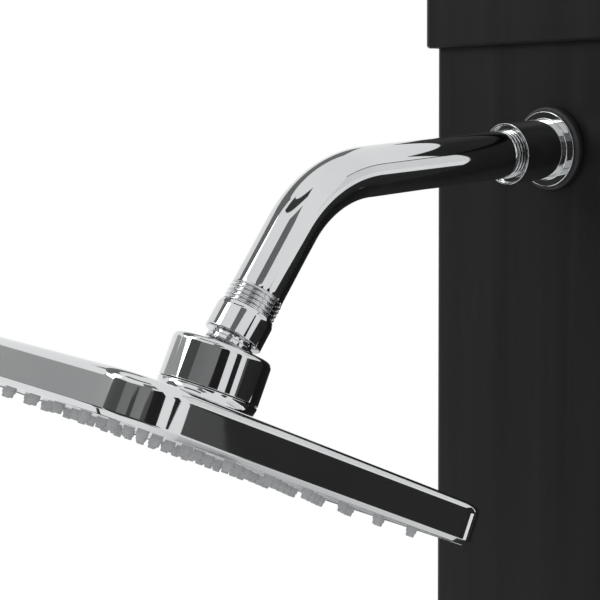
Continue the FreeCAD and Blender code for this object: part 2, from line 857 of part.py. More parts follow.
def repeated(body, kind, radius, low, high):
    # One eight-sided nozzle or hole at the corner of the grid, repeated in both directions.
    corner = "-nozzle_pitch*(nozzle_count - 1)/2"
    first = body.newObject("PartDesign::%sPrism" % kind, "First")
    first.Polygon = 8
    bind(first, {"Circumradius": radius, "Height": "(%s) - (%s)" % (high, low)})
    bind(first, {"Placement.Base.x": corner, "Placement.Base.y": corner, "Placement.Base.z": low})
    grid = body.newObject("PartDesign::MultiTransform", "Grid")
    grid.Originals = [first]
    planes = {feature.Role: feature for feature in body.Origin.OriginFeatures}
    rows = []
    for role in ("X_Axis", "Y_Axis"):
        row = body.newObject("PartDesign::LinearPattern", "Row")
        row.Direction = (planes[role], [""])
        bind(row, {"Length": "nozzle_pitch*(nozzle_count - 1)", "Occurrences": "nozzle_count"})
        rows.append(row)
    grid.Transformations = rows
    body.Tip = grid
    document.recompute()
    return body


def facePlate():
    low = "-face_low"
    high = "-ledge_low - mat_thickness"
    plate = headPlate("fit_gap", low, high)
    return onHead(repeated(plate, "Subtractive", "nozzle_radius + fit_gap", low + " - 1", high + " + 1"))


def nozzleMat():
    # The soft nozzles stand through the face plate's holes.
    high = "-ledge_low"
    mat = headPlate("fit_gap", high + " - mat_thickness", high)
    return onHead(repeated(mat, "Additive", "nozzle_radius", "-nozzle_low", high))


# Mixer

def mixerBody():
    block = turned([
        (0, "-mixer_back"),
        ("mixer_radius", "-mixer_back"),
        ("mixer_radius", "-mixer_shoulder"),
        ("mixer_neck", "-mixer_shoulder"),
        ("mixer_neck", "mixer_neck_top"),
        ("cartridge_radius + pipe_gap", "mixer_neck_top"),
        ("cartridge_radius + pipe_gap", "-cartridge_floor"),
        (0, "-cartridge_floor"),
    ])
    middle = "-pipe_depth"
    ports = [
        crossCylinder("port_radius", "-mixer_port", "mixer_port", middle),
        crossCylinder("port_radius", "-mixer_port", 0, middle, sideways=True),
    ]
    bores = [
        crossCylinder(PORT_BORE, "mixer_port - port_depth", "mixer_port", middle),
        crossCylinder(PORT_BORE, "-mixer_port", "port_depth - mixer_port", middle),
        crossCylinder(PORT_BORE, "-mixer_port", "port_depth - mixer_port", middle, sideways=True),
    ]
    return onFront(cut(fuse([block] + ports), bores), MIXER_HEIGHT)


def mixerWasher():
    washer = ring("mixer_neck + pipe_gap", "mixer_radius", "-mixer_shoulder", "-post_wall")
    return onFront(washer, MIXER_HEIGHT)


def mixerGasket():
    return onFront(ring("mixer_neck + fit_gap", "rosette_radius - 1", 0, "gasket_height"), MIXER_HEIGHT)


def mixerRosette():
    return onFront(turned([
        ("mixer_neck + pipe_gap", "gasket_height"),
        ("rosette_radius", "gasket_height"),
        ("rosette_radius", "rosette_top - rosette_slope"),
        ("rosette_radius - rosette_slope", "rosette_top"),
        ("mixer_neck + pipe_gap", "rosette_top"),
    ]), MIXER_HEIGHT)


def mixerCartridge():
    return onFront(turned([
        (0, "-cartridge_floor"),
        ("cartridge_radius", "-cartridge_floor"),
        ("cartridge_radius", "mixer_neck_top"),
        ("turret_radius + running_gap", "mixer_neck_top"),
        ("turret_radius + running_gap", "-turret_floor"),
        (0, "-turret_floor"),
    ]), MIXER_HEIGHT)


def cartridgeNut():
    # Domed nut over the cartridge; the lever's hub slides round its ball-shaped top.
    def domed(radius, across):
        return "lever_pivot + sqrt((%s)^2 - (%s)^2)" % (radius, across)
    return onFront(turned([
        ("mixer_neck + pipe_gap", "rosette_top"),
        ("dome_radius", "rosette_top"),
        ("dome_radius", "lever_pivot"),
        ("dome_hole", domed("dome_radius", "dome_hole"), "arc"),
        ("dome_hole", "mixer_neck_top"),
        ("mixer_neck + pipe_gap", "mixer_neck_top"),
    ]), MIXER_HEIGHT)


def cartridgeTurret():
    turret = cylinder("turret_radius", "-turret_floor", "turret_top")
    slot = box("slot_width", "slot_length", "slot_floor", "turret_top + 1")
    hole = crossCylinder("pin_radius + running_gap", "-turret_radius", "turret_radius", "lever_pivot", True)
    return onFront(cut(turret, [slot, hole]), MIXER_HEIGHT)


def mixerSpindle():
    spindle = cylinder("spindle_radius", "spindle_low", "spindle_top")
    pivot = crossCylinder("pin_radius", "-pin_length/2", "pin_length/2", "lever_pivot", True)
    return onFront(fuse([spindle, pivot]), MIXER_HEIGHT)


def mixerLever():
    # Ball-shaped hub over the domed nut, and a flat blade that hangs from it.
    hub = hubShell()
    boss = cylinder("hub_boss", "hub_boss_low", "lever_pivot + dome_radius + fit_gap + hub_thickness/2")
    bore = cylinder("spindle_radius + pipe_gap", "hub_boss_low - 1", "spindle_top")
    return onFront(cut(fuse([hub, boss, leverBlade()]), [bore]), MIXER_HEIGHT)


def hubShell():
    inner = "(dome_radius + fit_gap)"
    outer = "(dome_radius + fit_gap + hub_thickness)"

    def at(radius, angle):
        return ("%s*sin(%s*1deg)" % (radius, angle), "lever_pivot + %s*cos(%s*1deg)" % (radius, angle))
    body = newBody()
    sketch = newSketch(body, "XZ_Plane")
    drawOutline(sketch, [
        (0, "lever_pivot + " + inner),
        at(inner, "hub_angle") + ("arc",),
        at(outer, "hub_angle"),
        (0, "lever_pivot + " + outer, "arc"),
    ])
    revolution = body.newObject("PartDesign::Revolution", "Turned")
    revolution.Profile = sketch
    revolution.ReferenceAxis = (sketch, ["V_Axis"])
    revolution.Angle = 360
    document.recompute()
    return body


def leverBlade():
    # The blade's side outline, in the YZ plane; its root is buried in the hub.
    root = "(lever_pivot + dome_radius + fit_gap + hub_thickness)"
    body = newBody()
    sketch = newSketch(body, "YZ_Plane")
    drawOutline(sketch, [
        ("-2", root + " - 1"),
        ("-hub_thickness*3", root + " + 1"),
        ("-blade_length", root + " + 6"),
        ("-blade_length", root + " + 1.5"),
        ("-dome_radius - 1", root + " - 16"),
        ("-dome_radius*0.6", root + " - 6"),
    ])
    pad = body.newObject("PartDesign::Pad", "Blade")
    pad.Profile = sketch
    pad.Midplane = True
    bind(pad, {"Length": "blade_width"})
    document.recompute()
    tip = number("-blade_length")
    names = []
    for index, edge in enumerate(body.Shape.Edges, start=1):
        if edge.BoundBox.YMax < tip / 2 and edge.BoundBox.ZLength > 1:
            names.append("Edge%d" % index)
    soften(body, "Fillet", names, "blade_width/4")
    return body


# Foot tap

def tapGasket():
    return onFront(ring("thread_radius + fit_gap", "tap_flange - 1", 0, "gasket_height"), "tap_height")


def tapBody():
    shell = turned([
        ("tap_bore", "-tap_tail"),
        ("thread_radius", "-tap_tail"),
        ("thread_radius", "gasket_height"),
        ("tap_flange", "gasket_height"),
        ("tap_flange", "tap_flange_top"),
        ("tap_radius", "tap_flange_top"),
        ("tap_radius", "tap_front"),
        ("tap_chamber", "tap_front"),
        ("tap_chamber", "tap_chamber_floor"),
        ("tap_bore", "tap_chamber_floor"),
    ])
    boss = crossCylinder("tap_boss", 0, "tap_boss_top", "tap_ball_place")
    room = cylinder("tap_chamber", "tap_chamber_floor", "tap_front")
    hole = crossCylinder("tap_stem + running_gap", 0, "tap_boss_top", "tap_ball_place")
    return onFront(cut(fuse([shell, boss]), [room, hole]), "tap_height")


def tapLockNut():
    return onFront(hexNut("-post_wall - nut_height", "-post_wall"), "tap_height")


def tapBall():
    # Shut at rest: the bore lies across the flow.
    ball = sphere("tap_ball", "tap_ball_place")
    ball.Placement.Rotation = FreeCAD.Rotation(FreeCAD.Vector(0, 1, 0), 90)
    bore = crossCylinder("tap_bore", "-tap_ball", "tap_ball", "tap_ball_place", True)
    slot = tangBox("tang_width + 2*running_gap", "2*tap_ball", "tang_low - running_gap", "tap_ball")
    return onFront(cut(ball, [bore, slot]), "tap_height")


def tangBox(wide, long, low, high):
    # Box across the stem's axis, which is the tap frame's +Y.
    thing = document.addObject("Part::Box", "Tang")
    bind(thing, {"Length": long, "Width": "(%s) - (%s)" % (high, low), "Height": wide})
    bind(thing, {"Placement.Base.x": "-(%s)/2" % long, "Placement.Base.y": low})
    bind(thing, {"Placement.Base.z": "tap_ball_place - (%s)/2" % wide})
    return thing


def tapStem():
    stem = crossCylinder("tap_stem", "tang_top", "tap_stem_top", "tap_ball_place")
    tang = tangBox("tang_width", "tang_length", "tang_low", "tang_top")
    return onFront(fuse([stem, tang]), "tap_height")


def tapSpout():
    # Front half of the tap: its rear end holds the ball, its outlet points down.
    plugEnd = turned([
        ("tap_bore", "spout_insert"),
        ("tap_chamber - running_gap", "spout_insert"),
        ("tap_chamber - running_gap", "tap_front"),
        ("tap_radius", "tap_front"),
        ("tap_radius", "tap_front + spout_flange"),
        ("spout_radius", "tap_front + 2*spout_flange"),
        ("spout_radius", "spout_place"),
        ("tap_bore", "spout_place"),
    ])
    outside = [plugEnd, sphere("spout_radius", "spout_place")]
    outside.append(crossCylinder("spout_radius", "-spout_length", 0, "spout_place"))
    inside = [sphere("tap_ball + running_gap", "tap_ball_place"), sphere("tap_bore", "spout_place")]
    inside.append(cylinder("tap_bore", "spout_insert", "spout_place"))
    inside.append(crossCylinder("tap_bore", "-spout_length", 0, "spout_place"))
    return onFront(cut(fuse(outside), inside), "tap_height")


def tapLever():
    # Flat grip that points sideways while the tap is shut.
    high = "grip_low + grip_thickness"
    hub = crossCylinder("grip_hub", "grip_low", high, "tap_ball_place")
    end = crossCylinder("grip_width/2", "grip_low", high, "tap_ball_place")
    bind(end, {"Placement.Base.x": "grip_length"})
    bar = tangBox("grip_width", "grip_length", "grip_low", high)
    bind(bar, {"Placement.Base.x": "0"})
    hole = crossCylinder("tap_stem + running_gap", "grip_low", high, "tap_ball_place")
    return onFront(cut(fuse([hub, end, bar]), [hole]), "tap_height")


def tapLeverNut():
    low = "grip_low + grip_thickness"
    nut = hexagon("lock_radius", 0, "lock_height")
    hole = cylinder("tap_stem + running_gap", 0, "lock_height")
    turned = place(cut(nut, [hole]), 0, 0, 0, 0)
    return place(turned, 0, FRONT + " - tap_ball_place", "tap_height + " + low)


# Inlet and drain

def hoseConnector():
    return onBack(turned([
        ("tube_bore - 1", "port_depth - inlet_tail"),
        (PORT_BORE, "port_depth - inlet_tail"),
        (PORT_BORE, "-inlet_tail"),
        ("thread_radius", "-inlet_tail"),
        ("thread_radius", "washer_height"),
        ("inlet_flange", "washer_height"),
        ("inlet_flange", "inlet_flange_top"),
        ("thread_radius", "inlet_flange_top"),
        ("thread_radius", "inlet_length"),
        ("tube_bore - 1", "inlet_length"),
    ]), "tap_height")


def wallSeal(height):
    return onBack(ring("thread_radius + fit_gap", "inlet_flange - 1", 0, "washer_height"), height)


def wallNut(height):
    return onBack(hexNut("-post_wall - nut_height", "-post_wall"), height)


def drainPlug():
    head = hexagon("drain_head + 2", "washer_height", "drain_top")
    return onBack(fuse([head, cylinder("thread_radius", "-drain_tail", "washer_height")]), "drain_height")


def buildAll():
    return {
        "base_plate": basePlate(),
        "bottom_plug": bottomPlug(),
        "lower_tank": lowerTank(),
        "tank_coupling": tankCoupling(),
        "coupling_seal_lower": couplingSeal(-1),
        "coupling_seal_upper": couplingSeal(1),
        "upper_tank": upperTank(),
        "top_plug": topPlug(),
        "top_cap": topCap(),
        "pipe_spacer_lower": pipeSpacer("joint_height - spacer_below_joint", False),
        "pipe_spacer_upper": pipeSpacer("joint_height + spacer_above_joint", True),
        "cold_pipe": coldPipe(),
        "riser_pipe": riserPipe(),
        "hot_pipe": hotPipe(),
        "inlet_pipe": inletPipe(),
        "cold_tee": coldTee(),
        "riser_elbow": riserElbow(),
        "arm_gasket": armGasket(),
        "wall_socket": wallSocket(),
        "socket_washer": socketWasher(),
        "socket_lock_nut": socketLockNut(),
        "shower_arm": showerArm(),
        "ball_stem": ballStem(),
        "stem_filter": stemFilter(),
        "ball_nut": ballNut(),
        "ball_cup": ballCup(),
        "ball_seal": ballSeal(),
        "head_shell": headShell(),
        "face_plate": facePlate(),
        "nozzle_mat": nozzleMat(),
        "mixer_body": mixerBody(),
        "mixer_washer": mixerWasher(),
        "mixer_gasket": mixerGasket(),
        "mixer_rosette": mixerRosette(),
        "mixer_cartridge": mixerCartridge(),
        "cartridge_nut": cartridgeNut(),
        "cartridge_turret": cartridgeTurret(),
        "mixer_spindle": mixerSpindle(),
        "mixer_lever": mixerLever(),
        "foot_tap_gasket": tapGasket(),
        "foot_tap_body": tapBody(),
        "foot_tap_lock_nut": tapLockNut(),
        "foot_tap_ball": tapBall(),
        "foot_tap_stem": tapStem(),
        "foot_tap_spout": tapSpout(),
        "foot_tap_lever": tapLever(),
        "foot_tap_lever_nut": tapLeverNut(),
        "hose_connector": hoseConnector(),
        "inlet_seal": wallSeal("tap_height"),
        "inlet_lock_nut": wallNut("tap_height"),
        "drain_plug": drainPlug(),
        "drain_seal": wallSeal("drain_height"),
        "drain_nut": wallNut("drain_height"),
    }


def check(parts):
    for thing in document.Objects:
        if "Invalid" in thing.State or "Error" in thing.State:
            raise RuntimeError("%s (%s) failed: %s" % (thing.Name, thing.Label, thing.State))
    for label, part in parts.items():
        if part.Shape.isNull() or not part.Shape.isValid() or part.Shape.Volume <= 0:
            raise RuntimeError(label + " has no sound shape")


fillSheet()
parts = buildAll()
for label, part in parts.items():
    part.Label = label
document.recompute()
check(parts)
os.makedirs("parts", exist_ok=True)
for label, part in parts.items():
    part.Shape.exportStep("parts/%s.step" % label)
    print("%s %.0f mm3 %d solid" % (label, part.Shape.Volume, len(part.Shape.Solids)))
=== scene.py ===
import json
import math

import bmesh
import bpy
import numpy as np
from mathutils import Matrix, Vector


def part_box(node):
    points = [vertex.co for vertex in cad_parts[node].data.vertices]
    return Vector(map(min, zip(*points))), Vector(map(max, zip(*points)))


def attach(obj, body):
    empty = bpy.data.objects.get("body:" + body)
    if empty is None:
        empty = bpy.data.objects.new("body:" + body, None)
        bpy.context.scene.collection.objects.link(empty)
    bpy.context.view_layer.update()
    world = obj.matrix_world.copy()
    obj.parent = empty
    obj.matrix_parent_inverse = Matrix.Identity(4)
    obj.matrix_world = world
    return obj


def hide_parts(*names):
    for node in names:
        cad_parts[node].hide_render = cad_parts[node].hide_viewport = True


# Outdoor shower post: the looks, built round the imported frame. Metres, +Z up, the arm points to -Y.

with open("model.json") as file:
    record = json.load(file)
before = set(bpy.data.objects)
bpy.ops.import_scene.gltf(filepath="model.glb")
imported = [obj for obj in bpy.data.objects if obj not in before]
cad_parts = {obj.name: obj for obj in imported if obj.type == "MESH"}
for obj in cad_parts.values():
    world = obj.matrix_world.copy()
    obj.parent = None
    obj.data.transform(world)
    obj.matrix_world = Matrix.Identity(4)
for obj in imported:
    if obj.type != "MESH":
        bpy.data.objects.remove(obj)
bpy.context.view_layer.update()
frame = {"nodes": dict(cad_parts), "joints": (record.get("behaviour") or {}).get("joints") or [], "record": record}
nodes = frame["nodes"]
joints = {joint["name"]: joint for joint in frame["joints"]}
mm = 0.001
print("frame loaded:", len(nodes), "nodes")


# ---- places, read from the frame ----

def unit(vector):
    vector = np.array(vector, float)
    return vector / np.linalg.norm(vector)


def axisFrame(origin, along):
    # The origin, and a matrix whose columns are the local axes: Z along, X the part of the row's
    # X that is square to it, Y = Z cross X.
    z = unit(along)
    sideways = np.array([1.0, 0.0, 0.0])
    x = unit(sideways - z * np.dot(sideways, z))
    return np.array(origin, float), np.stack([x, np.cross(z, x), z], axis=1)


def toRow(points, place):
    # Local millimetres to the row's metres: origin + matrix times point.
    origin, axes = place
    return origin + (points * mm) @ axes.T


# Millimetres and degrees, here and in the other pieces' dictionaries
arm = {
    "tilt": 3.65, "bend": 50.35, "reach": 132.9, "bendRadius": 50.0,
    "tube": 10.3, "bore": 8.3, "crest": 10.5, "root": 9.45, "pitch": 1.814,
    "start": 14.0, "upperThreadEnd": 34.5, "lowerThreadStart": 52.0, "end": 68.0,
    "ridgeTop": 1.6, "ridgeSlope": 4.4, "ridgePower": 1.3,
    "threadFade": 0.8, "endFade": 0.5, "endShare": 0.3,
    "segments": 144, "stepsPerPitch": 14, "boreEvery": 8,
    "upperSteps": 40, "bendSteps": 72, "lowerSteps": 20,
}
columnWidth = 0.152  # metres, as armHeight is
armHeight = 2.060
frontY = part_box("upper_tank")[1].y - columnWidth
tiltAngle = math.radians(arm["tilt"])
dropAngle = math.radians(arm["tilt"] + arm["bend"])
# Places to build in: the arm's from the column's face, the head's and the stem's from the ball
armPlace = axisFrame((0, frontY, armHeight), (0, -math.cos(tiltAngle), -math.sin(tiltAngle)))
ballCentre = np.array(joints["head_nod"]["pos_m"])
headPlace = axisFrame(ballCentre, joints["head_spin"]["axis"])
stemPlace = axisFrame(ballCentre, (0, math.cos(dropAngle), math.sin(dropAngle)))


# ---- mesh helpers ----

mergeDistance = 1e-7  # metres


def surface(name, grid, body, finish):
    # A grid of points closed both ways: round in its columns, and from its last row to its first.
    rows, columns = grid.shape[:2]
    across = np.arange(columns)
    down = np.arange(rows)
    first = down[:, None] * columns + across[None, :]
    right = down[:, None] * columns + (across[None, :] + 1) % columns
    below = ((down[:, None] + 1) % rows) * columns + across[None, :]
    belowRight = ((down[:, None] + 1) % rows) * columns + (across[None, :] + 1) % columns
    quads = np.stack([first, right, belowRight, below], axis=-1).reshape(-1, 4)
    return pieceFrom(name, grid.reshape(-1, 3), quads, body, finish)


def pieceFrom(name, points, quads, body, finish):
    # Mesh from whole arrays, merged, with its faces turned outwards, riding on a body.
    mesh = bpy.data.meshes.new(name)
    mesh.vertices.add(len(points))
    mesh.vertices.foreach_set("co", np.ascontiguousarray(points, np.float32).ravel())
    mesh.loops.add(quads.size)
    mesh.loops.foreach_set("vertex_index", quads.ravel().astype(np.int32))
    mesh.polygons.add(len(quads))
    mesh.polygons.foreach_set("loop_start", np.arange(0, quads.size, 4, dtype=np.int32))
    mesh.update(calc_edges=True)
    work = bmesh.new()
    work.from_mesh(mesh)
    bmesh.ops.remove_doubles(work, verts=work.verts, dist=mergeDistance)
    bmesh.ops.dissolve_degenerate(work, edges=work.edges, dist=mergeDistance)
    bmesh.ops.recalc_face_normals(work, faces=work.faces)
    work.to_mesh(mesh)
    work.free()
    mesh.polygons.foreach_set("use_smooth", np.ones(len(mesh.polygons), bool))
    piece = bpy.data.objects.new(name, mesh)
    bpy.context.scene.collection.objects.link(piece)
    weighted = piece.modifiers.new("flatFaces", "WEIGHTED_NORMAL")
    weighted.weight = 80
    mesh.materials.append(finish)
    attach(piece, body)
    return piece


def rounded(corners, steps=4):
    # Profile of (radius, height, rounding): each corner becomes a short curve between two points
    # on its edges, (1 - t)^2 before + 2 t (1 - t) corner + t^2 after, which is close to an arc.
    # A corner with no rounding stays.
    points = np.array([corner[:2] for corner in corners], float)
    curve = []
    for index, corner in enumerate(corners):
        here = points[index]
        reach = corner[2] if len(corner) > 2 else 0
        if not reach or index in (0, len(corners) - 1):
            curve.append(here[None, :])
            continue
        before = here + unit(points[index - 1] - here) * reach
        after = here + unit(points[index + 1] - here) * reach
        t = np.linspace(0, 1, steps + 1)[:, None]
        curve.append((1 - t) ** 2 * before + 2 * t * (1 - t) * here + t ** 2 * after)
    return np.concatenate(curve)


def arcProfile(radius, fromAngle, toAngle, steps):
    # Part of a circle round the origin: radius times sine out from the axis, radius times cosine
    # down. Angles are from the lowest point, in degrees.
    angle = np.radians(np.linspace(fromAngle, toAngle, steps))
    return np.stack([radius * np.sin(angle), -radius * np.cos(angle)], axis=1)


def turnedGrid(profile, segments):
    # A profile of (radius, height) turned round Z: radius cos angle, radius sin angle, height.
    angle = np.linspace(0, 2 * math.pi, segments, endpoint=False)
    radius = profile[:, :1]
    height = np.broadcast_to(profile[:, 1:], (len(profile), segments))
    return np.stack([radius * np.cos(angle), radius * np.sin(angle), height], axis=-1)


# ---- materials ----

def newGroup(name, inputs, outputs):
    group = bpy.data.node_groups.new(name, "ShaderNodeTree")
    for label, kind, value in inputs:
        socket = group.interface.new_socket(name=label, in_out="INPUT", socket_type=kind)
        socket.default_value = value
    for label, kind in outputs:
        group.interface.new_socket(name=label, in_out="OUTPUT", socket_type=kind)
    return group, group.nodes.new("NodeGroupInput"), group.nodes.new("NodeGroupOutput")


def mathNode(tree, operation, first, second, third=0.0):
    node = tree.nodes.new("ShaderNodeMath")
    node.operation = operation
    for index, value in enumerate((first, second, third)):
        if isinstance(value, (int, float)):
            node.inputs[index].default_value = value
        else:
            tree.links.new(value, node.inputs[index])
    return node.outputs[0]


def makeUnevenGroup():
    # Patchy value between Low and High from noise: a larger Scale gives smaller patches, and
    # Stretch draws them out along Z.
    group, given, result = newGroup(
        "uneven",
        [("Scale", "NodeSocketFloat", 40.0), ("Stretch", "NodeSocketFloat", 1.0),
         ("Low", "NodeSocketFloat", 0.0), ("High", "NodeSocketFloat", 1.0)],
        [("Value", "NodeSocketFloat")])
    place = group.nodes.new("ShaderNodeTexCoord")
    parts = group.nodes.new("ShaderNodeSeparateXYZ")
    joined = group.nodes.new("ShaderNodeCombineXYZ")
    noise = group.nodes.new("ShaderNodeTexNoise")
    spread = group.nodes.new("ShaderNodeMapRange")
    noise.inputs["Detail"].default_value = 4
    noise.inputs["Roughness"].default_value = 0.6
    spread.inputs["From Min"].default_value = 0.3
    spread.inputs["From Max"].default_value = 0.7
    link = group.links.new
    link(place.outputs["Object"], parts.inputs[0])
    link(parts.outputs["X"], joined.inputs["X"])
    link(parts.outputs["Y"], joined.inputs["Y"])
    stretched = mathNode(group, "DIVIDE", parts.outputs["Z"], given.outputs["Stretch"])
    link(stretched, joined.inputs["Z"])
    link(joined.outputs[0], noise.inputs["Vector"])
    link(given.outputs["Scale"], noise.inputs["Scale"])
    link(noise.outputs["Fac"], spread.inputs["Value"])
    link(given.outputs["Low"], spread.inputs["To Min"])
    link(given.outputs["High"], spread.inputs["To Max"])
    link(spread.outputs["Result"], result.inputs["Value"])
    return group


unevenGroup = makeUnevenGroup()


def makeMaterial(name, look):
    # Principled shader whose colour, roughness and relief vary as the dictionary says.
    material = bpy.data.materials.new(name)
    material.use_nodes = True
    tree = material.node_tree
    shader = tree.nodes["Principled BSDF"]
    shader.inputs["Metallic"].default_value = look.get("metallic", 0.0)
    shader.inputs["IOR"].default_value = 1.5
    shader.inputs["Specular IOR Level"].default_value = look.get("specular", 0.5)

    def uneven(setting):
        node = tree.nodes.new("ShaderNodeGroup")
        node.node_tree = unevenGroup
        for label, value in zip(("Scale", "Stretch", "Low", "High"), setting):
            node.inputs[label].default_value = value
        return node.outputs["Value"]

    mix = tree.nodes.new("ShaderNodeMix")
    mix.data_type = "RGBA"
    mix.inputs["A"].default_value = (*look["colour"], 1)
    mix.inputs["B"].default_value = (*look["otherColour"], 1)
    tree.links.new(uneven((*look["colourNoise"], 0.0, 1.0)), mix.inputs["Factor"])
    tree.links.new(mix.outputs["Result"], shader.inputs["Base Color"])
    tree.links.new(uneven((*look["roughNoise"], *look["roughness"])), shader.inputs["Roughness"])
    if "relief" in look:
        strength, distance, scale, stretch = look["relief"]
        bump = tree.nodes.new("ShaderNodeBump")
        bump.inputs["Strength"].default_value = strength
        bump.inputs["Distance"].default_value = distance
        tree.links.new(uneven((scale, stretch, 0.0, 1.0)), bump.inputs["Height"])
        tree.links.new(bump.outputs["Normal"], shader.inputs["Normal"])
    return material


# colourNoise and roughNoise are (scale, stretch), roughness is (lowest, highest), and relief is
# (strength, distance, scale, stretch)
looks = {
    "chrome": {
        "metallic": 1.0, "colour": (0.67, 0.68, 0.685), "otherColour": (0.61, 0.62, 0.63),
        "colourNoise": (30, 1), "roughNoise": (60, 1), "roughness": (0.015, 0.045),
    },
    "chromedShell": {
        "metallic": 1.0, "colour": (0.69, 0.70, 0.705), "otherColour": (0.63, 0.64, 0.65),
        "colourNoise": (20, 1), "roughNoise": (35, 1), "roughness": (0.03, 0.07),
        "relief": (0.02, 0.0004, 25, 1),
    },
    "charcoal": {
        "colour": (0.0065, 0.0066, 0.0070), "otherColour": (0.0115, 0.0116, 0.0120),
        "colourNoise": (45, 22), "roughNoise": (140, 30), "roughness": (0.34, 0.46),
        "relief": (0.10, 0.0003, 240, 6), "specular": 0.17,
    },
    "charcoalMetal": {
        "colour": (0.009, 0.009, 0.0095), "otherColour": (0.014, 0.014, 0.0145),
        "colourNoise": (30, 1), "roughNoise": (90, 1), "roughness": (0.42, 0.55),
        "relief": (0.25, 0.0003, 900, 1), "specular": 0.2,
    },
    "blackRubber": {
        "colour": (0.012, 0.012, 0.012), "otherColour": (0.022, 0.022, 0.022),
        "colourNoise": (120, 1), "roughNoise": (200, 1), "roughness": (0.45, 0.65),
        "relief": (0.15, 0.0002, 700, 1),
    },
    "greyRubber": {
        "colour": (0.31, 0.32, 0.33), "otherColour": (0.38, 0.39, 0.40),
        "colourNoise": (90, 1), "roughNoise": (300, 1), "roughness": (0.45, 0.6),
        "relief": (0.1, 0.0002, 900, 1),
    },
    "whitePlastic": {
        "colour": (0.74, 0.75, 0.74), "otherColour": (0.68, 0.69, 0.68),
        "colourNoise": (40, 1), "roughNoise": (120, 1), "roughness": (0.35, 0.5),
        "relief": (0.08, 0.0002, 500, 1),
    },
    "facePlastic": {
        "colour": (0.80, 0.81, 0.82), "otherColour": (0.76, 0.77, 0.78),
        "colourNoise": (25, 1), "roughNoise": (80, 1), "roughness": (0.22, 0.32),
        "relief": (0.05, 0.0002, 400, 1),
    },
    "brass": {
        "metallic": 1.0, "colour": (0.66, 0.48, 0.22), "otherColour": (0.52, 0.37, 0.17),
        "colourNoise": (60, 1), "roughNoise": (150, 1), "roughness": (0.22, 0.42),
        "relief": (0.1, 0.0002, 500, 1),
    },
    "steel": {
        "metallic": 1.0, "colour": (0.58, 0.58, 0.59), "otherColour": (0.50, 0.50, 0.51),
        "colourNoise": (60, 1), "roughNoise": (200, 0.1), "roughness": (0.22, 0.38),
        "relief": (0.1, 0.0002, 600, 0.1),
    },
}
finishes = {name: makeMaterial(name, look) for name, look in looks.items()}
# The record's material slots and the finish that each one gets
slotFinish = {
    "charcoal_shell": "charcoal", "charcoal_metal": "charcoalMetal", "chrome": "chrome",
    "chromed_shell": "chromedShell", "black_rubber": "blackRubber", "grey_rubber": "greyRubber",
    "white_plastic": "whitePlastic", "face_plastic": "facePlastic", "brass": "brass",
    "steel": "steel",
}
for part in frame["record"]["subparts"]:
    finish = finishes[slotFinish[part["material_slot"]]]
    mesh = nodes[part["node"]].data
    mesh.materials.clear()
    mesh.materials.append(finish)
print("materials set")


# ---- arm ----

def threadRadius(along, angle):
    # Flat-topped ridge that winds once round per pitch: root plus ridge times the thread's depth,
    # where the ridge falls off on both sides of the middle of each turn.
    phase = (along / arm["pitch"] - angle / (2 * math.pi)) % 1.0
    ridge = np.clip(arm["ridgeTop"] - np.abs(phase - 0.5) * arm["ridgeSlope"], 0.0, 1.0)
    return arm["root"] + (arm["crest"] - arm["root"]) * ridge ** arm["ridgePower"]


def armStations():
    # Distances along the arm's middle line: close together where the threads are.
    turn = math.radians(arm["bend"])
    straight = arm["reach"] - arm["bendRadius"] * math.tan(turn / 2)
    lower = straight + arm["bendRadius"] * turn
    offset = lower - arm["bendRadius"] * math.tan(turn / 2)
    fine = arm["pitch"] / arm["stepsPerPitch"]
    threadLow = offset + arm["lowerThreadStart"]
    end = offset + arm["end"]
    stations = np.concatenate([
        np.arange(arm["start"], arm["upperThreadEnd"], fine),
        np.linspace(arm["upperThreadEnd"], straight, arm["upperSteps"], endpoint=False),
        np.linspace(straight, lower, arm["bendSteps"], endpoint=False),
        np.linspace(lower, threadLow, arm["lowerSteps"], endpoint=False),
        np.arange(threadLow, end + fine / 2, fine),
    ])
    return stations, straight, lower, threadLow, end


def armLine(along, straight, lower):
    # Middle line in the arm's own YZ plane, a straight, an arc and a straight, and the normal that
    # points away from the arc's centre: (cosine, sine) of the angle turned so far.
    bend = arm["bendRadius"]
    turned = (np.clip(along, straight, lower) - straight) / bend
    after = np.maximum(along - lower, 0)
    y = -bend + bend * np.cos(turned) - after * np.sin(turned)
    z = np.minimum(along, straight) + bend * np.sin(turned) + after * np.cos(turned)
    return y, z, np.cos(turned), np.sin(turned)


def makeArm():
    # A circle carried along the middle line: line + radius times (sine across, cosine along the
    # line's normal). The outer rows run down the arm and the bore's rows run back up.
    segments = arm["segments"]
    along, straight, lower, threadLow, end = armStations()
    y, z, normalY, normalZ = armLine(along, straight, lower)
    angle = np.linspace(0, 2 * math.pi, segments, endpoint=False)[None, :]
    radius = np.full((len(along), segments), arm["tube"])
    column = along[:, None]
    upper = np.clip((arm["upperThreadEnd"] - column) / arm["threadFade"], 0, 1)
    under = np.clip((column - threadLow) / arm["threadFade"], 0, 1)
    under = under * np.clip((end - column) / arm["endFade"], arm["endShare"], 1)
    share = np.maximum(upper, under)
    radius = radius * (1 - share) + threadRadius(column, angle) * share
    outer = np.stack([
        radius * np.sin(angle),
        y[:, None] + radius * np.cos(angle) * normalY[:, None],
        z[:, None] + radius * np.cos(angle) * normalZ[:, None],
    ], axis=-1)
    keep = slice(None, None, -arm["boreEvery"])
    bore = arm["bore"]
    inner = np.stack([
        bore * np.sin(angle) + 0 * y[keep, None],
        y[keep, None] + bore * np.cos(angle) * normalY[keep, None],
        z[keep, None] + bore * np.cos(angle) * normalZ[keep, None],
    ], axis=-1)
    grid = toRow(np.concatenate([outer, inner]), armPlace)
    piece = surface("armTube", grid, "post", finishes["chrome"])
    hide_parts("shower_arm")


makeArm()
print("arm made")


# ---- wall fitting ----

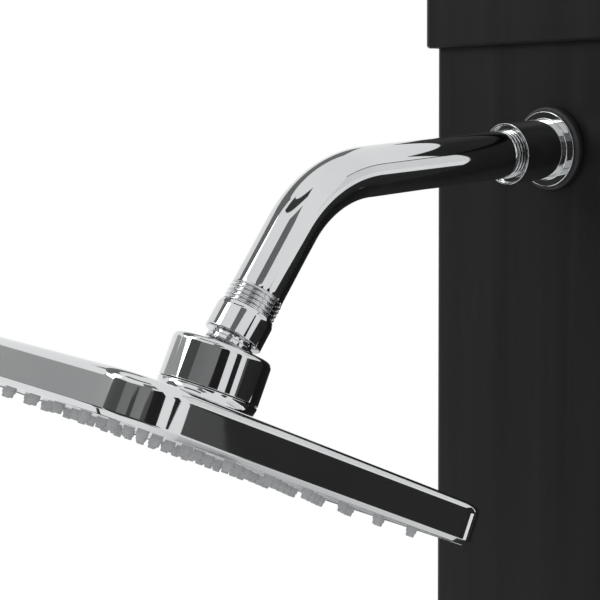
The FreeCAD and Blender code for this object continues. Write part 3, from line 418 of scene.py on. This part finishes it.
socket = {
    "flange": 16.7, "flangeLow": 4.2, "flangeHigh": 5.4, "barrel": 13.3, "barrelLow": 5.5,
    "length": 30.0, "mouth": 12.4, "mouthFlare": 0.1, "mouthDepth": 1.7, "bore": 10.62,
    "floor": 14.0, "tail": -24.0, "tailRadius": 10.48, "waterway": 8.3, "segments": 160,
    "rootEdge": 0.5, "backEdge": 0.25, "frontEdge": 0.45, "endEdge": 0.35, "mouthEdge": 0.2,
}
puck = {
    "radius": 18.4, "edge": 1.3, "hole": 10.8, "seat": 0.3, "seatEdge": 0.2,
    "segments": 128, "edgeSteps": 6,
}


def makeSocket():
    # A profile turned round the arm's axis: tail, flange, barrel, then back in through the mouth
    # and down the bore.
    s = socket
    mouthFloor = s["length"] - s["mouthDepth"]
    profile = rounded([
        (s["waterway"], s["tail"]), (s["tailRadius"], s["tail"], s["rootEdge"]),
        (s["tailRadius"], s["flangeLow"]), (s["flange"], s["flangeLow"], s["backEdge"]),
        (s["flange"], s["flangeHigh"], s["frontEdge"]),
        (s["barrel"], s["barrelLow"], s["rootEdge"]), (s["barrel"], s["length"], s["endEdge"]),
        (s["mouth"] + s["mouthFlare"], s["length"], s["mouthEdge"]),
        (s["mouth"], mouthFloor, s["mouthEdge"]), (s["bore"], mouthFloor, s["mouthEdge"]),
        (s["bore"], s["floor"]), (s["waterway"], s["floor"]),
    ])
    grid = toRow(turnedGrid(profile, s["segments"]), armPlace)
    piece = surface("wallSocketShell", grid, "post", finishes["chrome"])
    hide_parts("wall_socket")


def makePuck():
    # A turned profile too, but its back lies flat on the column: there the distance along the arm
    # is minus up times tan(tilt).
    s = puck
    front = socket["flangeLow"]
    profile = rounded([
        (s["hole"], 0.0), (s["radius"], 0.0), (s["radius"], front, s["edge"]),
        (socket["flange"] + s["seat"], front, s["seatEdge"]), (s["hole"], front),
    ], s["edgeSteps"])
    grid = turnedGrid(profile, s["segments"])
    back = profile[:, 1] == 0.0
    grid[back, :, 2] = -grid[back, :, 1] * math.tan(tiltAngle)
    piece = surface("rubberPuck", toRow(grid, armPlace), "post",
                    finishes["blackRubber"])
    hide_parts("arm_gasket")


makeSocket()
makePuck()
print("wall fitting made")


# ---- ball joint ----

stem = {
    "bore": 4.5, "ball": 12.7, "collar": 9.4, "collarLow": 9.2, "collarHigh": 11.0, "groove": 8.2,
    "sleeveLow": 12.5, "sleeve": 11.4, "sleeveHigh": 22.5, "sleeveTop": 24.1, "lip": 10.95,
    "socketBore": 10.58, "floor": 15.0, "ballSteps": 40, "segments": 144,
    "grooveEdge": 0.2, "collarEdge": 0.4, "sleeveFoot": 0.6, "sleeveEdge": 0.5, "lipEdge": 0.25,
    "boreEdge": 0.1,
}
ballNut = {
    "outer": 19.2, "low": -9.0, "high": 8.2, "edge": 2.5, "mouth": 13.8, "mouthFloor": 5.2,
    "seat": 12.76, "inner": 16.56, "seatLow": -0.75, "lowEdge": 0.35, "mouthEdge": 0.5,
    "edgeSteps": 8, "seatSteps": 12, "segments": 160,
}


def makeStem():
    # The ball's arc from its bore up to the collar, then the stepped sleeve, turned round the
    # stem's axis. Angles are where the bore and the collar cut the ball.
    s = stem
    lowest = math.degrees(math.asin(s["bore"] / s["ball"]))
    highest = 90 + math.degrees(math.asin(s["collarLow"] / s["ball"]))
    upper = rounded([
        (math.sqrt(s["ball"] ** 2 - s["collarLow"] ** 2), s["collarLow"]),
        (s["collar"], s["collarLow"], s["grooveEdge"]),
        (s["collar"], s["collarHigh"], s["collarEdge"]),
        (s["groove"], s["collarHigh"], s["grooveEdge"]),
        (s["groove"], s["sleeveLow"], s["grooveEdge"]),
        (s["sleeve"], s["sleeveLow"], s["sleeveFoot"]),
        (s["sleeve"], s["sleeveHigh"], s["sleeveEdge"]),
        (s["lip"], s["sleeveTop"], s["lipEdge"]), (s["socketBore"], s["sleeveTop"], s["boreEdge"]),
        (s["socketBore"], s["floor"]), (s["bore"], s["floor"]),
    ])
    profile = np.concatenate([arcProfile(s["ball"], lowest, highest, s["ballSteps"]), upper[1:]])
    grid = toRow(turnedGrid(profile, s["segments"]), stemPlace)
    piece = surface("ballStemTurned", grid, "post", finishes["chrome"])
    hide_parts("ball_stem")


def makeBallNut():
    # The outside, the mouth and a ball-shaped seat inside, turned round the head's axis. Angles
    # are those of the seat's two ends, at the mouth's floor and at its own lowest height.
    s = ballNut
    top = 90 + math.degrees(math.asin(s["mouthFloor"] / s["seat"]))
    bottom = 90 + math.degrees(math.asin(s["seatLow"] / s["seat"]))
    outside = rounded([
        (s["inner"], s["low"]), (s["outer"], s["low"], s["lowEdge"]),
        (s["outer"], s["high"], s["edge"]), (s["mouth"], s["high"], s["mouthEdge"]),
        (s["seat"] * math.sin(math.radians(top)), s["mouthFloor"]),
    ], s["edgeSteps"])
    seat = arcProfile(s["seat"], top, bottom, s["seatSteps"])
    inside = np.array([[s["inner"], s["seatLow"]]])
    profile = np.concatenate([outside, seat[1:], inside])
    grid = toRow(turnedGrid(profile, s["segments"]), headPlace)
    piece = surface("ballNutTurned", grid, "head", finishes["chrome"])
    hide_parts("ball_nut")


makeStem()
makeBallNut()
print("ball joint made")


# ---- head ----

head = {
    "width": 165.0, "corner": 20.0, "leastCorner": 0.4,
    "top": -17.0, "topEdge": 3.8, "low": -32.0, "lowEdge": 1.9,
    "wall": 2.5, "ledge": 4.0, "ledgeLow": -27.0, "boss": 19.2, "bossTop": -9.3,
    "neck": 16.5, "neckTop": -1.5, "well": 14.4, "seat": 15.76, "wellFloor": -13.65, "hole": 6.0,
    "innermost": 12.0, "innermostUnder": 18.0, "neckFlat": 2.0, "neckEdge": 0.3, "bossEdge": 0.35,
    "sideEdge": 0.4, "rimEdge": 0.35, "rimInside": 0.1, "seatFrom": 30.0, "seatTo": 13.65,
    "cornerSteps": 14, "sideSteps": 6, "edgeSteps": 8, "seatSteps": 10,
}


def squareRing(inset):
    # Square with round corners, moved in by an inset that also takes from the corner's radius: a
    # quarter circle and a side, turned by 0, 90, 180 and 270 degrees.
    half = head["width"] / 2 - inset
    radius = max(head["corner"] - inset, head["leastCorner"])
    centre = half - radius
    corner = np.radians(np.linspace(0, 90, head["cornerSteps"]))
    side = np.linspace(0, 1, head["sideSteps"] + 2)[1:-1]
    quarter = np.concatenate([
        np.stack([centre + radius * np.cos(corner), centre + radius * np.sin(corner)], axis=1),
        np.stack([centre - 2 * centre * side, np.full(len(side), half)], axis=1),
    ])
    turns = [quarter @ np.array([[math.cos(a), math.sin(a)], [-math.sin(a), math.cos(a)]])
             for a in np.radians([0, 90, 180, 270])]
    return np.concatenate(turns)


def circleLike(ring, radius):
    # Circle whose points lie in the same directions as a ring's, so that the two join as a strip.
    return ring / np.linalg.norm(ring, axis=1, keepdims=True) * radius


def atHeight(ring, height):
    return np.column_stack([ring, np.full(len(ring), height)])


def makeHeadShell():
    # Rings stacked into one closed skin, each a shape at a height. Circles, as (radius, height),
    # line the well and go round the neck and the boss; squares, as (inset, height), then go out
    # over the top, down the side and back up inside.
    s = head
    ceiling = s["top"] - s["wall"]
    ledge = s["wall"] + s["ledge"]
    outside = rounded([
        (s["innermost"], s["top"]), (0.0, s["top"], s["topEdge"]),
        (0.0, s["low"] + s["lowEdge"], s["sideEdge"]), (s["lowEdge"], s["low"], s["rimEdge"]),
        (s["wall"], s["low"], s["rimInside"]), (s["wall"], s["ledgeLow"]),
        (ledge, s["ledgeLow"]), (ledge, ceiling), (s["innermostUnder"], ceiling),
    ], s["edgeSteps"])
    shape = squareRing(s["innermost"])
    seatEdge = math.degrees(math.asin(s["seatTo"] / s["seat"]))
    rim = rounded([
        (s["neck"] - s["neckFlat"], s["neckTop"]), (s["neck"], s["neckTop"], s["neckEdge"]),
        (s["neck"], s["bossTop"]), (s["boss"], s["bossTop"], s["bossEdge"]), (s["boss"], s["top"]),
    ])
    well = np.concatenate([
        [[s["hole"], ceiling], [s["hole"], s["wellFloor"]]],
        arcProfile(s["seat"], s["seatFrom"], seatEdge, s["seatSteps"]),
        [[s["well"], s["neckTop"]]],
    ])
    rings = [atHeight(circleLike(shape, r), z) for r, z in np.concatenate([well, rim])]
    rings += [atHeight(squareRing(inset), z) for inset, z in outside]
    grid = toRow(np.stack(rings), headPlace)
    piece = surface("headCover", grid, "head", finishes["chromedShell"])
    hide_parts("head_shell")


nozzles = {
    "count": 8, "pitch": 17.55, "matTop": -27.0, "matLow": -29.0, "edge": 2.8, "matMiddle": 60.0,
    "tip": -35.2, "holeFloor": 0.6, "hole": 0.75, "holeDepth": 0.8, "tipRadius": 1.5,
    "step": 1.6, "stepLow": 1.5, "root": 1.95, "rootLow": 1.7, "rootSunk": 0.2, "closing": 0.01,
    "holeEdge": 0.1, "tipEdge": 0.35, "stepEdge": 0.15, "rootEdge": 0.25,
    "segments": 24, "edgeSteps": 2,
}


def makeNozzles():
    # One stepped soft nozzle, a turned profile from the floor of its hole round the tip and up to
    # the mat, set out as a square grid of copies by adding offsets. The mat is a stack of rings.
    s = nozzles
    holeTop = s["tip"] + s["holeDepth"]
    closed = s["matLow"] - s["closing"]
    profile = rounded([
        (0.0, holeTop), (s["holeFloor"], holeTop), (s["hole"], s["tip"], s["holeEdge"]),
        (s["tipRadius"], s["tip"], s["tipEdge"]),
        (s["step"], s["tip"] + s["stepLow"], s["stepEdge"]),
        (s["root"], s["tip"] + s["rootLow"], s["rootEdge"]),
        (s["root"], s["matLow"] + s["rootSunk"]), (s["root"], closed), (0.0, closed),
    ], s["edgeSteps"])
    one = turnedGrid(profile, s["segments"])
    places = (np.arange(s["count"]) - (s["count"] - 1) / 2) * s["pitch"]
    rows, columns = one.shape[:2]
    offsets = np.stack(np.meshgrid(places, places, [0.0], indexing="ij"), axis=-1)
    offsets = offsets.reshape(-1, 1, 1, 3)
    grid = (one[None] + offsets).reshape(-1, columns, 3)
    down = np.arange(len(grid) - 1)
    down = down[(down + 1) % rows != 0][:, None]
    across = np.arange(columns)[None, :]
    following = (across + 1) % columns
    quads = np.stack([
        down * columns + across, down * columns + following,
        (down + 1) * columns + following, (down + 1) * columns + across,
    ], axis=-1).reshape(-1, 4)
    points = toRow(grid.reshape(-1, 3), headPlace)
    piece = pieceFrom("softNozzles", points, quads, "head", finishes["greyRubber"])
    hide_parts("nozzle_mat")
    rings = [atHeight(squareRing(inset), z) for inset, z in (
        (s["matMiddle"], s["matTop"]), (s["edge"], s["matTop"]),
        (s["edge"], s["matLow"]), (s["matMiddle"], s["matLow"]))]
    mat = surface("nozzleMat", toRow(np.stack(rings), headPlace), "head",
                  finishes["greyRubber"])
    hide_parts("nozzle_mat")


makeHeadShell()
makeNozzles()
print("head made")


# ---- studio ----

# Metres and greys
stage = {
    "reach": 2.3, "plainTo": 1.0, "fadeMargin": 0.05, "below": 0.0005, "rings": 12, "spokes": 64,
    "floorGrey": 0.86, "roughness": 0.7, "specular": 0.1, "cardColumns": 12,
    "domeTop": 0.95, "domeSide": 0.72, "domeLow": 0.55,
}
# Sheets that only reflections show: from and to (degrees round the ball joint, 0 is +X), distance,
# lowest and highest height, grey
cards = {
    "behind": (79, 150, 1.9, 0.2, 1.50, 0.015),
    "right": (27, 63, 0.69, 1.2, 1.95, 0.028),
    "rightDim": (22, 29, 0.705, 1.2, 1.95, 0.10),
    "rightHigh": (62, 80, 0.70, 1.715, 1.98, 0.028),
    "slit": (0, 11, 1.5, 1.93, 2.30, 0.02),
    "side": (30, 88, 1.5, 2.12, 2.72, 0.92),
    "sideLine": (30, 92, 1.49, 2.72, 2.79, 0.08),
    "front": (-34, -15, 1.5, 1.4, 2.70, 0.015),
    "frontDim": (-42, -34, 1.5, 1.4, 2.50, 0.08),
    "frontGrey": (-87, -34, 1.52, 2.2, 3.00, 0.27),
    "frontLow": (-112, -34, 1.51, 0.5, 2.42, 0.04),
    "frontLine": (-67, -59, 1.5, 2.3, 2.69, 0.06),
    "pipeBand": (-50, -20, 1.5, 2.95, 3.70, 0.20),
    "left": (-117, -87, 1.53, 2.2, 3.05, 0.11),
    "leftPale": (-147, -117, 1.54, 2.2, 2.72, 0.50),
    "farLeft": (-168, -146, 1.5, 2.18, 2.50, 0.50),
    "farLeftLow": (-145, -118, 1.49, 1.3, 2.18, 0.04),
    "farLeftLine": (-168, -145, 1.49, 2.04, 2.18, 0.05),
    "pipeLine": (-140, -134, 1.5, 3.0, 4.6, 0.06),
    "upLeft": (135, 222, 1.5, 2.95, 4.4, 0.22),
    "downLeft": (150, 215, 1.5, 0.2, 1.1, 0.03),
    "over": (-112, -20, 1.5, 4.3, 5.6, 0.05),
    "underFront": (-74, -40, 0.9, 0.03, 0.7, 0.04),
}


def plainMaterial(name, grey):
    material = bpy.data.materials.new(name)
    material.use_nodes = True
    shader = material.node_tree.nodes["Principled BSDF"]
    shader.inputs["Base Color"].default_value = (grey, grey, grey, 1)
    shader.inputs["Roughness"].default_value = stage["roughness"]
    shader.inputs["Specular IOR Level"].default_value = stage["specular"]
    return material, material.node_tree, shader


def seenRays(tree):
    # 1 for what the camera, metal and glass see, 0 for the light that falls on things
    rays = tree.nodes.new("ShaderNodeLightPath")
    direct = mathNode(tree, "MAXIMUM", rays.outputs["Is Camera Ray"], rays.outputs["Is Glossy Ray"])
    return mathNode(tree, "MAXIMUM", direct, rays.outputs["Is Transmission Ray"])


def makeFloor():
    # Rings from the centre out. The pale floor keeps the shadow and fades into the white round it.
    radius = np.linspace(0.0, stage["reach"], stage["rings"])[:, None]
    angle = np.linspace(0, 2 * math.pi, stage["spokes"], endpoint=False)[None, :]
    height = 0 * radius - stage["below"] + 0 * angle
    grid = np.stack([radius * np.cos(angle), radius * np.sin(angle), height], axis=-1)
    floor = stagePiece("floor", grid, True)
    material, tree, shader = plainMaterial("paleFloor", stage["floorGrey"])
    place = tree.nodes.new("ShaderNodeTexCoord")
    length = tree.nodes.new("ShaderNodeVectorMath")
    length.operation = "LENGTH"
    tree.links.new(place.outputs["Object"], length.inputs[0])
    fade = tree.nodes.new("ShaderNodeMapRange")
    fade.interpolation_type = "SMOOTHSTEP"
    fade.inputs["From Min"].default_value = stage["plainTo"]
    fade.inputs["From Max"].default_value = stage["reach"] - stage["fadeMargin"]
    tree.links.new(length.outputs["Value"], fade.inputs["Value"])
    glow = tree.nodes.new("ShaderNodeEmission")
    blend = tree.nodes.new("ShaderNodeMixShader")
    white = mathNode(tree, "MULTIPLY", fade.outputs["Result"], seenRays(tree))
    tree.links.new(white, blend.inputs["Fac"])
    tree.links.new(shader.outputs["BSDF"], blend.inputs[1])
    tree.links.new(glow.outputs["Emission"], blend.inputs[2])
    tree.links.new(blend.outputs["Shader"], tree.nodes["Material Output"].inputs["Surface"])
    floor.data.materials.append(material)


def stagePiece(name, grid, closed):
    # A grid of points as a plain sheet; closed joins its last column to its first.
    rows, columns = grid.shape[:2]
    down = np.arange(rows - 1)[:, None]
    across = np.arange(columns if closed else columns - 1)[None, :]
    after = (across + 1) % columns
    quads = np.stack([down * columns + across, (down + 1) * columns + across,
                      (down + 1) * columns + after, down * columns + after], axis=-1).reshape(-1, 4)
    mesh = bpy.data.meshes.new(name)
    mesh.from_pydata(grid.reshape(-1, 3).tolist(), [], quads.tolist())
    piece = bpy.data.objects.new(name, mesh)
    bpy.context.scene.collection.objects.link(piece)
    return piece


def makeCards():
    # Each is a part of an upright cylinder: the ball's centre + distance times (cosine, sine) of
    # the angle, between two heights.
    for name, (start, end, distance, low, high, grey) in cards.items():
        angle = np.radians(np.linspace(start, end, stage["cardColumns"]))[None, :]
        height = np.array([[low], [high]])
        grid = np.stack([ballCentre[0] + distance * np.cos(angle) + 0 * height,
                         ballCentre[1] + distance * np.sin(angle) + 0 * height,
                         height + 0 * angle], axis=-1)
        card = stagePiece(name + "Card", grid, False)
        card.data.materials.append(plainMaterial(name + "Card", grey)[0])
        card.visible_camera = False
        card.visible_diffuse = False
        card.visible_shadow = False


def makeWorld():
    # White to the camera, metal and glass. What lights the object is a soft dome, brighter above.
    world = bpy.data.worlds.new("studio")
    bpy.context.scene.world = world
    world.use_nodes = True
    tree = world.node_tree
    tree.nodes.clear()
    link = tree.links.new
    place = tree.nodes.new("ShaderNodeTexCoord")
    parts = tree.nodes.new("ShaderNodeSeparateXYZ")
    link(place.outputs["Generated"], parts.inputs[0])
    dome = tree.nodes.new("ShaderNodeValToRGB")
    fillRamp(dome, [(0.0, stage["domeLow"]), (0.5, stage["domeSide"]), (1.0, stage["domeTop"])])
    link(mathNode(tree, "MULTIPLY_ADD", parts.outputs["Z"], 0.5, 0.5), dome.inputs["Fac"])
    seen = tree.nodes.new("ShaderNodeMix")
    seen.data_type = "RGBA"
    seen.inputs["B"].default_value = (1, 1, 1, 1)
    link(seenRays(tree), seen.inputs["Factor"])
    link(dome.outputs["Color"], seen.inputs["A"])
    background = tree.nodes.new("ShaderNodeBackground")
    link(seen.outputs["Result"], background.inputs["Color"])
    output = tree.nodes.new("ShaderNodeOutputWorld")
    link(background.outputs[0], output.inputs[0])


def fillRamp(ramp, stops):
    elements = ramp.color_ramp.elements
    while len(elements) < len(stops):
        elements.new(0.5)
    for element, (position, grey) in zip(elements, stops):
        element.position = position
        element.color = (grey, grey, grey, 1)


lamps = {
    "softKey": {
        "place": (-1.6, -2.2, 3.6), "target": (0, -0.2, 1.9), "size": (1.6, 1.6), "power": 30,
    },
    "softFill": {
        "place": (2.0, -2.6, 2.2), "target": (0, 0, 1.2), "size": (1.4, 2.2), "power": 18,
    },
}


def addLamp(name, place, target, size, power):
    data = bpy.data.lights.new(name, "AREA")
    data.shape = "RECTANGLE"
    data.size, data.size_y = size
    data.energy = power
    lamp = bpy.data.objects.new(name, data)
    bpy.context.scene.collection.objects.link(lamp)
    lamp.location = place
    aim = Vector(target) - Vector(place)
    lamp.rotation_euler = aim.to_track_quat("-Z", "Y").to_euler()


# The photograph's view, from a fit of the arm, the head's corners, the nozzles and the cap. Its
# place is in millimetres from where the arm's axis meets the column.
view = {
    "from": (425.24, -472.3, 17.81), "azimuth": 49.782, "dip": 7.739, "roll": -0.307,
    "lens": 84.454, "shift": (-0.1, 0.0), "sensor": 36, "nearest": 0.01,
}


def makeCamera():
    azimuth, dip, roll = (math.radians(view[key]) for key in ("azimuth", "dip", "roll"))
    level = math.cos(dip)
    ahead = np.array([-math.sin(azimuth) * level, math.cos(azimuth) * level, -math.sin(dip)])
    across = np.array([math.cos(azimuth), math.sin(azimuth), 0])
    above = np.cross(across, ahead)
    right = across * math.cos(roll) + above * math.sin(roll)
    up = above * math.cos(roll) - across * math.sin(roll)
    data = bpy.data.cameras.new("photoView")
    data.lens = view["lens"]
    data.sensor_width = view["sensor"]
    data.shift_x, data.shift_y = view["shift"]
    data.clip_start = view["nearest"]
    camera = bpy.data.objects.new("photoView", data)
    bpy.context.scene.collection.objects.link(camera)
    matrix = np.eye(4)
    matrix[:3, 0] = right
    matrix[:3, 1] = up
    matrix[:3, 2] = -ahead
    matrix[:3, 3] = armPlace[0] + np.array(view["from"]) * mm
    camera.matrix_world = Matrix(matrix.tolist())
    bpy.context.scene.camera = camera


makeFloor()
makeCards()
makeWorld()
for lampName, lampValues in lamps.items():
    addLamp(lampName, **lampValues)
makeCamera()
bpy.context.scene.view_settings.view_transform = "Standard"
print("studio made")
